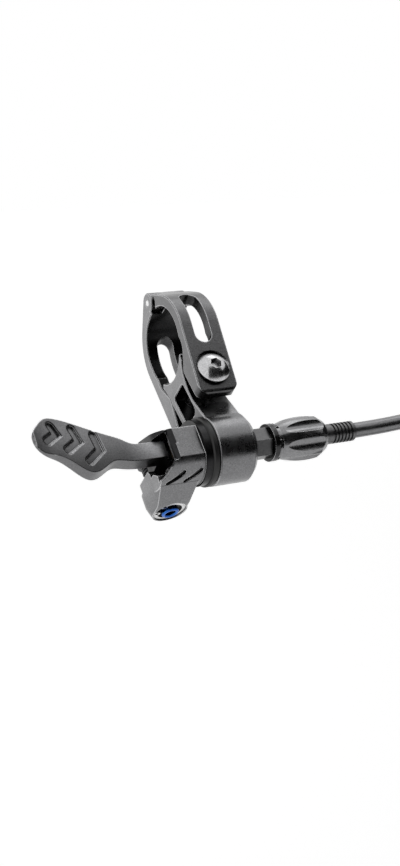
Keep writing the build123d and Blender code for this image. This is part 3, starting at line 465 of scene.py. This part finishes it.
# %% The domed head
HEAD_R, HEAD_H = 4.75, 2.75
DOME_R, DOME_RIM = 5.9, 0.35
HEAD_SLACK = 0.05
HEAD_FOOT = 0.2
CROWN_SLACK = 0.01
bolt_work = carving_copy("clamp_bolt")
head_top = max(vert.co.dot(FACING) for vert in bolt_work.verts)
crown = [vert for vert in bolt_work.verts if vert.co.dot(FACING) > head_top - CROWN_SLACK * MM]
bolt_high = sum(vert.co.dot(UPRIGHT) for vert in crown) / len(crown)
dome_base = sqrt(DOME_R**2 - HEAD_R**2)
for vert in bolt_work.verts:
    out = sqrt(vert.co.x**2 + (vert.co.dot(UPRIGHT) - bolt_high) ** 2) / MM
    over = (vert.co.dot(FACING) - head_top) / MM + HEAD_H
    dome = DOME_RIM + sqrt(max(DOME_R**2 - out**2, 0)) - dome_base
    if out < HEAD_R + HEAD_SLACK and over > max(dome, HEAD_FOOT):
        vert.co += FACING * (dome - over) * MM
bolt_piece = carved_piece("bolt_domed", bolt_work, "clamp_bolt", "bolt")

# %% [markdown]
# ## Nodes for the finishes
#
# Nearly everything here is black, so the finishes differ by gloss and grain, not by colour. Blasted
# and anodised alloy is a dark metal whose grain is far finer than a millimetre. Its machined edges
# are broken by a small chamfer. The Bevel shader node rounds the normal near each edge, and where
# the rounded normal leaves the true one, the colour gets a painted highlight, or painted shade on
# edges that face the rider. Corners get painted shade, darker where the Ambient Occlusion node
# finds little free view. Object coordinates keep the grain at its real scale on every piece. Every
# finish needs the same few nodes, so short helpers make and join them.

# %% Links, places, normals and vector maths
def feed(material, socket, value):
    """Link an output to a socket, or set the socket itself where value is a plain one."""
    if isinstance(value, bpy.types.NodeSocket):
        material.node_tree.links.new(value, socket)
    else:
        socket.default_value = value


def object_place(material):
    """Place on the piece, in metres."""
    return material.node_tree.nodes.new("ShaderNodeTexCoord").outputs["Object"]


def true_normal(material):
    """Direction that the surface faces."""
    return material.node_tree.nodes.new("ShaderNodeNewGeometry").outputs["Normal"]


def vector_maths(material, operation, first, second=None):
    """Result of one vector operation."""
    maths = material.node_tree.nodes.new("ShaderNodeVectorMath")
    maths.operation = operation
    feed(material, maths.inputs[0], first)
    if second is not None:
        feed(material, maths.inputs["Scale" if operation == "SCALE" else 1], second)
    return maths.outputs["Value" if operation == "DOT_PRODUCT" else "Vector"]


# %% Ramp between two values, and blend of two colours
MIX_SHARE, MIX_FIRST, MIX_SECOND = 0, 6, 7
MIX_COLOUR = 2


def ramp(material, value, start, end, first, last, smooth=False):
    """Value that goes from first at start to last at end."""
    step = material.node_tree.nodes.new("ShaderNodeMapRange")
    if smooth:
        step.interpolation_type = "SMOOTHSTEP"
    step.inputs["From Min"].default_value = start
    step.inputs["From Max"].default_value = end
    step.inputs["To Min"].default_value = first
    step.inputs["To Max"].default_value = last
    feed(material, step.inputs["Value"], value)
    return step.outputs["Result"]


def blend(material, share, first, second):
    """Colour between two, second where share is 1."""
    mixed = material.node_tree.nodes.new("ShaderNodeMix")
    mixed.data_type = "RGBA"
    for socket, value in ((MIX_SHARE, share), (MIX_FIRST, first), (MIX_SECOND, second)):
        feed(material, mixed.inputs[socket], value)
    return mixed.outputs[MIX_COLOUR]


# %% Grain of the blasted surface
GRAIN = 2500.0
CLOUD = GRAIN / 8
BUMP_STRENGTH = 0.5


def noise(material, scale, detail):
    """Noise of so many cells a metre."""
    speckle = material.node_tree.nodes.new("ShaderNodeTexNoise")
    speckle.inputs["Scale"].default_value = scale
    speckle.inputs["Detail"].default_value = detail
    feed(material, speckle.inputs["Vector"], object_place(material))
    return speckle.outputs["Fac"]


def relief(material, height, deep):
    """Bump node for a height, deep millimetres."""
    bump = material.node_tree.nodes.new("ShaderNodeBump")
    bump.inputs["Strength"].default_value = BUMP_STRENGTH
    bump.inputs["Distance"].default_value = deep * MM
    feed(material, bump.inputs["Height"], height)
    return bump


# %% Edge mask from the Bevel node, for painted highlight and painted shade on edges
EDGE_SAMPLES = 6
EDGE_OUTSIDE, EDGE_INSIDE = 0.995, 0.95
TO_RIDER = (0, -1, 0)
RIDER_SIDE, OTHER_SIDE = 0.86, 0.74


def edge_highlight_nodes(material, radius):
    """Rounded normal, a mask of the edges, and a mask of what is turned away from the rider."""
    bevel = material.node_tree.nodes.new("ShaderNodeBevel")
    bevel.samples = EDGE_SAMPLES
    bevel.inputs["Radius"].default_value = radius * MM
    rounded = bevel.outputs["Normal"]
    agree = vector_maths(material, "DOT_PRODUCT", rounded, true_normal(material))
    edge = ramp(material, agree, EDGE_OUTSIDE, EDGE_INSIDE, 0, 1)
    towards = vector_maths(material, "DOT_PRODUCT", rounded, TO_RIDER)
    return rounded, edge, ramp(material, towards, RIDER_SIDE, OTHER_SIDE, 0, 1)


# %% Painted shade in the corners
ROOM_SAMPLES = 8
ROOM_OPEN = 0.92


def corner_shade_nodes(material, colour, reach, depth, closed):
    """Darkens a colour to depth where no more than closed of the view is free within reach mm."""
    room = material.node_tree.nodes.new("ShaderNodeAmbientOcclusion")
    room.samples = ROOM_SAMPLES
    room.inputs["Distance"].default_value = reach * MM
    shade = ramp(material, room.outputs["AO"], closed, ROOM_OPEN, depth, 1.0)
    return vector_maths(material, "SCALE", colour, shade)


# %% Painted light and shade along a face, and painted shade inside the bore
FACE_STARTS, FACE_FULL = 0.5, 0.7
BORE_FULL, BORE_ENDS = -0.85, -0.6


def painted_fade_nodes(material, colour, way, start, end, first, last):
    """Scales a colour from first to last between two places in mm, on faces towards the rider."""
    along = vector_maths(material, "DOT_PRODUCT", object_place(material), way)
    share = ramp(material, along, start * MM, end * MM, first, last, smooth=True)
    front = vector_maths(material, "DOT_PRODUCT", true_normal(material), FACING)
    facing = ramp(material, front, FACE_STARTS, FACE_FULL, 0, 1, smooth=True)
    return blend(material, facing, colour, vector_maths(material, "SCALE", colour, share))


def bore_shade_nodes(material, colour, share):
    """Scales a colour on the faces that look at the bar's axis."""
    off_axis = vector_maths(material, "MULTIPLY", object_place(material), (0, 1, 1))
    outward = vector_maths(material, "NORMALIZE", off_axis)
    agree = vector_maths(material, "DOT_PRODUCT", outward, true_normal(material))
    scale = ramp(material, agree, BORE_FULL, BORE_ENDS, share, 1.0, smooth=True)
    return vector_maths(material, "SCALE", colour, scale)


# %% The finish itself
CLOUD_DETAIL, GRAIN_DETAIL = 4.0, 2.0
CLOUD_LOW, CLOUD_HIGH = 0.3, 0.7
ROUGHNESS_SPREAD = 0.06
ROUGHNESS_LEAST = 0.05
GRAIN_TONES = (0.55, 1.45)
EDGE_IN_SHADE = (0.012, 0.012, 0.012, 1)


def finish(name, colour, roughness, metallic=0.0, bump=0.02, edge=None, radius=0.4, reach=20.0,
           depth=0.2, closed=0.45, painted_fades=(), bore=None):
    """Grained material; edge is the painted edge highlight's colour, radius its width in mm."""
    material = bpy.data.materials.new(name)
    material.use_nodes = True
    shader = material.node_tree.nodes["Principled BSDF"]
    shader.inputs["Metallic"].default_value = metallic
    speckle = noise(material, GRAIN, GRAIN_DETAIL)
    surface = relief(material, speckle, bump)
    smoothest = max(roughness - ROUGHNESS_SPREAD, ROUGHNESS_LEAST)
    cloud = noise(material, CLOUD, CLOUD_DETAIL)
    gloss = ramp(material, cloud, CLOUD_LOW, CLOUD_HIGH, smoothest, roughness + ROUGHNESS_SPREAD)
    dark, light = ((*(min(c * tone, 1) for c in colour), 1) for tone in GRAIN_TONES)
    shown = blend(material, speckle, dark, light)
    # Painted light and shade along the face, where the finish asks for it.
    for fade in painted_fades:
        shown = painted_fade_nodes(material, shown, *fade)
    # Painted shade inside the bore.
    if bore is not None:
        shown = bore_shade_nodes(material, shown, bore)
    # Every finish gets painted shade in its corners.
    shown = corner_shade_nodes(material, shown, reach, depth, closed)
    # Painted highlight on the edges, and painted shade on the edges that face the rider.
    if edge is not None:
        rounded, mask, lit = edge_highlight_nodes(material, radius)
        feed(material, surface.inputs["Normal"], rounded)
        shown = blend(material, mask, shown, blend(material, lit, EDGE_IN_SHADE, (*edge, 1)))
    feed(material, shader.inputs["Roughness"], gloss)
    feed(material, shader.inputs["Base Color"], shown)
    feed(material, shader.inputs["Normal"], surface.outputs["Normal"])
    return material


# %% A finish on its pieces
def dress(material, *names):
    """Give CAD nodes or new pieces a finish by their material slots."""
    for name in names:
        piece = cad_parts[name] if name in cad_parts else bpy.data.objects[name]
        piece.data.materials.clear()
        piece.data.materials.append(material)
    print(material.name, "on", ", ".join(names))


# %% [markdown]
# ## Black alloy
#
# Clamp, bracket and housing share one satin anodising. Painted shade darkens it inside the bore,
# where the metal mirrors only itself, and the strap is a copy darkened as painted shade. The
# lever's is a little duller, with painted light up the paddle and a painted highlight towards the
# hub. The chevrons' rims get a paler copy as painted light where they face the light, and black
# painted shade where they don't. These lie on slots of the carved copies, chosen face by face,
# because a mask in the shader would blur their sharp outline.

# %% Clamp, bracket and housing
ALLOY = (0.205, 0.205, 0.21)
ALLOY_EDGE_HIGHLIGHT = (0.62, 0.62, 0.63)
# The bore gets painted shade here, and the edges a painted highlight.
clamp_alloy = finish("clamp_alloy", ALLOY, 0.28, metallic=0.95, bump=0.03, edge=ALLOY_EDGE_HIGHLIGHT,
                     reach=30.0, depth=0.08, bore=0.2)
dress(clamp_alloy, "front_band", "bracket", "housing_carved")
# The strap's copy is darker as painted shade, and darker still in its bore.
shaded_strap_alloy = finish("shaded_strap_alloy", (0.135, 0.135, 0.138), 0.28, metallic=0.95, bump=0.03,
                     edge=ALLOY_EDGE_HIGHLIGHT, reach=30.0, depth=0.08, bore=0.5)
dress(shaded_strap_alloy, "rear_strap")

# %% The lever, with painted light up the paddle and a painted highlight towards the hub
LEVER_EDGE_HIGHLIGHT = (0.42, 0.42, 0.43)
PAINTED_LIGHT_UP_THE_PADDLE = (UPRIGHT, -40.0, -28.0, 0.35, 1.15)
PAINTED_HIGHLIGHT_TO_THE_HUB = ((1, 0, 0), -31.0, -18.5, 1.0, 3.8)
# The lever's short corner shade goes to black in the chevrons' slots, as painted shade.
lever_alloy = finish("lever_alloy", (0.17, 0.17, 0.174), 0.34, metallic=0.95, bump=0.03,
                     edge=LEVER_EDGE_HIGHLIGHT, radius=0.42, reach=1.4, depth=0.0, closed=0.62,
                     painted_fades=(PAINTED_LIGHT_UP_THE_PADDLE, PAINTED_HIGHLIGHT_TO_THE_HUB))
dress(lever_alloy, "lever_carved")
# Black painted shade, and a paler lever alloy as painted light on the chevrons' lit rims.
recess_shade = finish("recess_shade", (0.012, 0.012, 0.012), 0.4, metallic=0.9)
lit_rim_alloy = finish("lit_rim_alloy", (0.24, 0.24, 0.244), 0.34, metallic=0.95, bump=0.01)
SHADE_SLOT, LIT_RIM_SLOT = 1, 2
for inner in (recess_shade, lit_rim_alloy):
    lever_piece.data.materials.append(inner)


# %% Chevron rims in painted shade and light, and the hub's flat in the mouth in painted shade
def length_squared(gap):
    """Square of a gap's length."""
    return gap[0] ** 2 + gap[1] ** 2


def nearest_on(corners, x, z):
    """Shortest way to a place from a bent line, as two parts."""
    gaps = []
    for (x1, z1), (x2, z2) in zip(corners, corners[1:]):
        share = ((x - x1) * (x2 - x1) + (z - z1) * (z2 - z1)) / ((x2 - x1) ** 2 + (z2 - z1) ** 2)
        share = min(max(share, 0), 1)
        gaps.append((x - x1 - share * (x2 - x1), z - z1 - share * (z2 - z1)))
    return min(gaps, key=length_squared)


PADDLE_X = -34
RIM_NEAR = (RIM_DEPTH * 0.8, RIM_DEPTH * 1.2)
SHADE_LEAN = 0.2
HUB_FLAT_X = (-21.2, -20.2)
HUB_FLAT_Z = -39
FLAT_TO_LEFT = -0.9
for face in lever_piece.data.polygons:
    x, high = face.center.x / MM, face.center.dot(UPRIGHT) / MM
    depth = sweep_radius(face.center) - SWEEP_R
    if x < PADDLE_X and RIM_NEAR[0] < depth < RIM_NEAR[1]:
        gaps = [nearest_on(chevron, x, high) for chevron in CHEVRONS]
        away_x, away_z = min(gaps, key=length_squared)
        face.material_index = SHADE_SLOT if away_x < away_z * SHADE_LEAN else LIT_RIM_SLOT
    on_flat = HUB_FLAT_X[0] < x < HUB_FLAT_X[1] and high > HUB_FLAT_Z
    if on_flat and face.normal.x < FLAT_TO_LEFT:
        face.material_index = SHADE_SLOT
shaded = [face for face in lever_piece.data.polygons if face.material_index == SHADE_SLOT]
print("lever faces in shade:", len(shaded))

# %% Painted shade inside the housing: the lug's end, the wall's round edge and the flange's back
mouth_shade = finish("mouth_shade", (0.030, 0.030, 0.031), 0.32, metallic=0.9)
housing_piece.data.materials.append(mouth_shade)
ALLOY_SLOT, MOUTH_SHADE_SLOT = 0, 1
FLANGE_X = -10.05
LUG_SLACK = 0.05
LUG_TURN, WALL_TURN, WALL_FRONT = -0.25, -0.15, 0.1
for face in housing_piece.data.polygons:
    x, high = face.center.x / MM, face.center.dot(UPRIGHT) / MM
    left, front = face.normal.x, face.normal.dot(FACING)
    lug_end = x < WALL_X - LUG_SLACK and high > BARREL_Z and left < LUG_TURN
    wall_edge = abs(x - WALL_X) < WALL_ROUND and left < WALL_TURN and front > WALL_FRONT
    inside = lug_end or wall_edge or x > FLANGE_X
    face.material_index = MOUTH_SHADE_SLOT if inside else ALLOY_SLOT
darkened = [face for face in housing_piece.data.polygons if face.material_index == MOUTH_SHADE_SLOT]
print("housing faces in mouth black:", len(darkened))

# %% [markdown]
# ## Gloss, steel, plastic and brass
#
# The knob and its ring are polished before anodising, so their grain nearly vanishes and their
# flutes shine. The hexagon is duller. The bolt, the hinge pin, the clip and the end ferrule are
# plain steel, spring and wire are darker, the pivot pin is anodised blue, and the anchor is brass.
# Washer, bushes, ties and the knob's ferrule are moulded, and the outer cable's sheath is smooth
# and half glossy. Each could have a material built by hand, but the one finish with other numbers
# keeps the set together under any light.

# %% Knob, ring and hexagon
# The edge colours below are painted highlights on the edges.
knob_gloss = finish("knob_gloss", (0.25, 0.25, 0.255), 0.24, metallic=0.95, bump=0.004,
                    edge=ALLOY_EDGE_HIGHLIGHT, radius=0.2, reach=6.0, depth=0.1)
dress(knob_gloss, "barrel_adjuster")
ring_gloss = finish("ring_gloss", (0.05, 0.05, 0.051), 0.22, metallic=0.95, bump=0.004,
                    edge=ALLOY_EDGE_HIGHLIGHT, radius=0.22)
dress(ring_gloss, "index_ring")
hexagon_dull = finish("hexagon_dull", (0.11, 0.11, 0.112), 0.3, metallic=0.9, bump=0.01,
                      edge=ALLOY_EDGE_HIGHLIGHT, radius=0.2, reach=8.0)
dress(hexagon_dull, "collar_bolt")

# %% Steel, blue pin and brass
# The bolt's and the blue pin's edge colours are painted highlights on their edges.
bright_steel = finish("bright_steel", (0.55, 0.55, 0.56), 0.22, metallic=1.0, bump=0.004,
                      edge=(0.9, 0.9, 0.9), radius=0.12, reach=1.5, depth=0.2)
dress(bright_steel, "bolt_domed", "end_ferrule")
white_steel = finish("white_steel", (0.85, 0.85, 0.86), 0.35, metallic=1.0, bump=0.01,
                     reach=2.0, depth=0.4)
dress(white_steel, "hinge_pin", "pivot_clip")
spring_steel = finish("spring_steel", (0.06, 0.06, 0.062), 0.3, metallic=1.0, reach=6.0)
dress(spring_steel, "return_spring", "inner_cable")
blue_anodised = finish("blue_anodised", (0.02, 0.12, 0.52), 0.3, metallic=0.9, bump=0.01,
                       edge=(0.10, 0.36, 0.85), radius=0.2, reach=3.0)
dress(blue_anodised, "pivot_pin")
turned_brass = finish("turned_brass", (0.55, 0.40, 0.18), 0.3, metallic=1.0)
dress(turned_brass, "cable_anchor")

# %% Plastic and the cable's sheath
dull_plastic = finish("dull_plastic", (0.012, 0.012, 0.012), 0.45)
dress(dull_plastic, "thrust_washer", "lower_bush", "upper_bush", "coil_ties")
ferrule_plastic = finish("ferrule_plastic", (0.15, 0.15, 0.152), 0.30, metallic=0.85, bump=0.01,
                         reach=1.0, depth=0.4)
dress(ferrule_plastic, "ferrule")
cable_sheath = finish("cable_sheath", (0.21, 0.21, 0.215), 0.3, metallic=0.9, bump=0.004)
outer_cable.data.materials.append(cable_sheath)
print(cable_sheath.name, "on", outer_cable.name)

# %% [markdown]
# ## The studio
#
# The remote hangs in front of plain white. A white world seen by the camera, by reflections and
# through gaps makes that background, while what it pours on the part stays low. A dark metal is
# shaped by what it reflects. Reading the picture face by face gives the room round it: bright from
# below, from the left and from straight above, dark on the rider's side from eye height to half way
# up, and dark on the right. So two dark cards stand on those sides and a soft lamp hangs overhead.
# The cards are hidden from the camera and are no part of the object.

# %% Rays that see the white room
def room_rays(nodes, links):
    """Output that is 1 for camera, mirror and transmission rays, which see the room as white."""
    rays = nodes.new("ShaderNodeLightPath")
    seen = rays.outputs["Is Camera Ray"]
    for ray in ("Is Glossy Ray", "Is Transmission Ray"):
        either = nodes.new("ShaderNodeMath")
        either.operation = "MAXIMUM"
        links.new(seen, either.inputs[0])
        links.new(rays.outputs[ray], either.inputs[1])
        seen = either.outputs["Value"]
    return seen


# %% White surroundings
SURROUND_LIGHT = 0.35
WHITE_SEEN = 1.0
world = bpy.data.worlds.new("studio")
bpy.context.scene.world = world
world.use_nodes = True
nodes, links = world.node_tree.nodes, world.node_tree.links
fill, white = nodes["Background"], nodes.new("ShaderNodeBackground")
for background, strength in ((fill, SURROUND_LIGHT), (white, WHITE_SEEN)):
    background.inputs["Color"].default_value = (1, 1, 1, 1)
    background.inputs["Strength"].default_value = strength
choose = nodes.new("ShaderNodeMixShader")
links.new(room_rays(nodes, links), choose.inputs["Fac"])
links.new(fill.outputs["Background"], choose.inputs[1])
links.new(white.outputs["Background"], choose.inputs[2])
links.new(choose.outputs["Shader"], nodes["World Output"].inputs["Surface"])
print("world light:", SURROUND_LIGHT)

# %% Lamps
PANEL_SIZE = (0.5, 0.3)
PANEL_AIM = (0.0, -0.02, -0.01)


def soft_panel(name, place, power):
    """Rectangular soft lamp at place in metres, turned towards the part."""
    data = bpy.data.lights.new(name, "AREA")
    data.shape = "RECTANGLE"
    data.size, data.size_y = PANEL_SIZE
    data.energy = power
    lamp = bpy.data.objects.new(name, data)
    facing = (Vector(PANEL_AIM) - Vector(place)).to_track_quat("-Z", "Y")
    lamp.matrix_world = Matrix.Translation(Vector(place)) @ facing.to_matrix().to_4x4()
    bpy.context.scene.collection.objects.link(lamp)


soft_panel("panel_over", (0.30, 0.24, 0.60), 0.5)
soft_panel("panel_left", (-0.35, 0.65, -0.15), 0.12)


# %% Paper for the floor and the cards
def plain(name, colour, glow=0.0):
    """Plain studio paper; glow lifts it for the rays that see the white room."""
    paper = bpy.data.materials.new(name)
    paper.use_nodes = True
    nodes, links = paper.node_tree.nodes, paper.node_tree.links
    shader = nodes["Principled BSDF"]
    shader.inputs["Base Color"].default_value = (*colour, 1)
    shader.inputs["Roughness"].default_value = 0.9
    shader.inputs["Specular IOR Level"].default_value = 0.1
    if glow:
        lift = nodes.new("ShaderNodeMath")
        lift.operation = "MULTIPLY"
        lift.inputs[1].default_value = glow
        links.new(room_rays(nodes, links), lift.inputs[0])
        shader.inputs["Emission Color"].default_value = (1, 1, 1, 1)
        links.new(lift.outputs["Value"], shader.inputs["Emission Strength"])
    return paper


pale = plain("pale_floor", (0.9, 0.9, 0.9), glow=0.7)
dark = plain("dark_card", (0.02, 0.02, 0.02))
print("papers:", pale.name, dark.name)

# %% Floor and dark cards
FLOOR_Z, FLOOR_HALF = -0.30, 4
CARD_LOW, RIDER_HIGH, RIGHT_HIGH = -0.15, 1.02, 0.42
RIDER_Y, LEFT_X, RIGHT_X, FRONT_Y = -0.70, -0.45, 0.90, 0.55


def sheet(name, corners, material):
    """Flat four-cornered sheet for the studio, not part of the object."""
    data = bpy.data.meshes.new(name)
    data.from_pydata(corners, [], [(0, 1, 2, 3)])
    data.materials.append(material)
    piece = bpy.data.objects.new(name, data)
    bpy.context.scene.collection.objects.link(piece)
    return piece


def upright_card(name, start, end, high):
    """Dark card that stands along a line from start to end, unseen by the camera."""
    foot = [(*start, CARD_LOW), (*end, CARD_LOW)]
    card = sheet(name, foot + [(*end, high), (*start, high)], dark)
    card.visible_camera = False
    print(name, "up to", high)


quarters = ((-1, -1), (1, -1), (1, 1), (-1, 1))
sheet("floor", [(x * FLOOR_HALF, y * FLOOR_HALF, FLOOR_Z) for x, y in quarters], pale)
upright_card("card_rider", (LEFT_X, RIDER_Y), (RIGHT_X, RIDER_Y), RIDER_HIGH)
upright_card("card_right", (RIGHT_X, RIDER_Y), (RIGHT_X, FRONT_Y), RIGHT_HIGH)

# %% [markdown]
# ## Last update
#
# The view layer is updated once more, so that every piece's place is up to date.

# %% Last update
bpy.context.view_layer.update()
